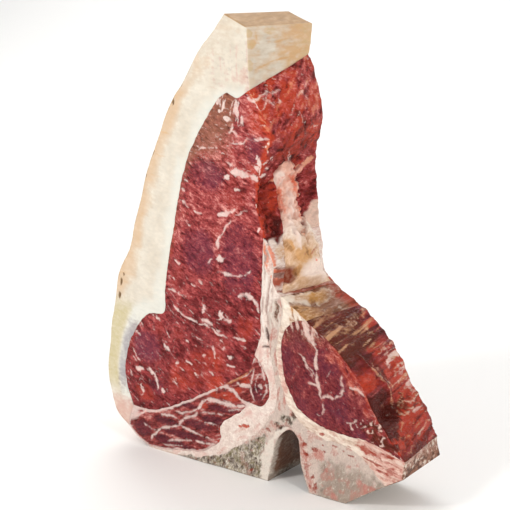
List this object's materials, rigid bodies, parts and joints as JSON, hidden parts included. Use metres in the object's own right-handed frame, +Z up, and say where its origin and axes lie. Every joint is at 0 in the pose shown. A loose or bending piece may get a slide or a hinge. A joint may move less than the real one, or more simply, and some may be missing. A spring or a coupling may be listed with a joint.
{
  "type": "t-bone steak",
  "caption": "Raw T-bone steak standing on its sawn chine bone, strip loin and tenderloin on either side of the bone, with a thick back fat cap; every layer runs through.",
  "frame": {"origin": "under the middle of the steak's box, on the plane of the sawn chine bone that it stands on", "axes": "+Z up from the sawn bone to the top of the back fat, -Y out of the cut face that shows, +X towards the tenderloin's end"},
  "size_m": [0.1978, 0.0446, 0.2456],
  "materials": {
    "back_fat": "waxy firm fat, cream with a tan rind",
    "strip_loin": "moist raw muscle, purple red with pale marbling",
    "chine_muscle": "moist raw muscle with white seams",
    "seam_fat": "soft pinkish white fat and membrane",
    "bone": "sawn spongy bone, grey beige with a pale hard rim",
    "tenderloin": "moist raw muscle, dark purple red",
    "sinew": "wet tendon and fat, pinkish cream"
  },
  "bodies": {
    "root": {"back_fat": "back_fat", "strip_loin": "strip_loin", "chine_muscle": "chine_muscle", "small_chine_muscle": "chine_muscle", "seam_fat": "seam_fat", "t_bone": "bone", "fillet_fat": "seam_fat", "tenderloin": "tenderloin", "flank_sinew": "sinew"}
  },
  "joints": []
}
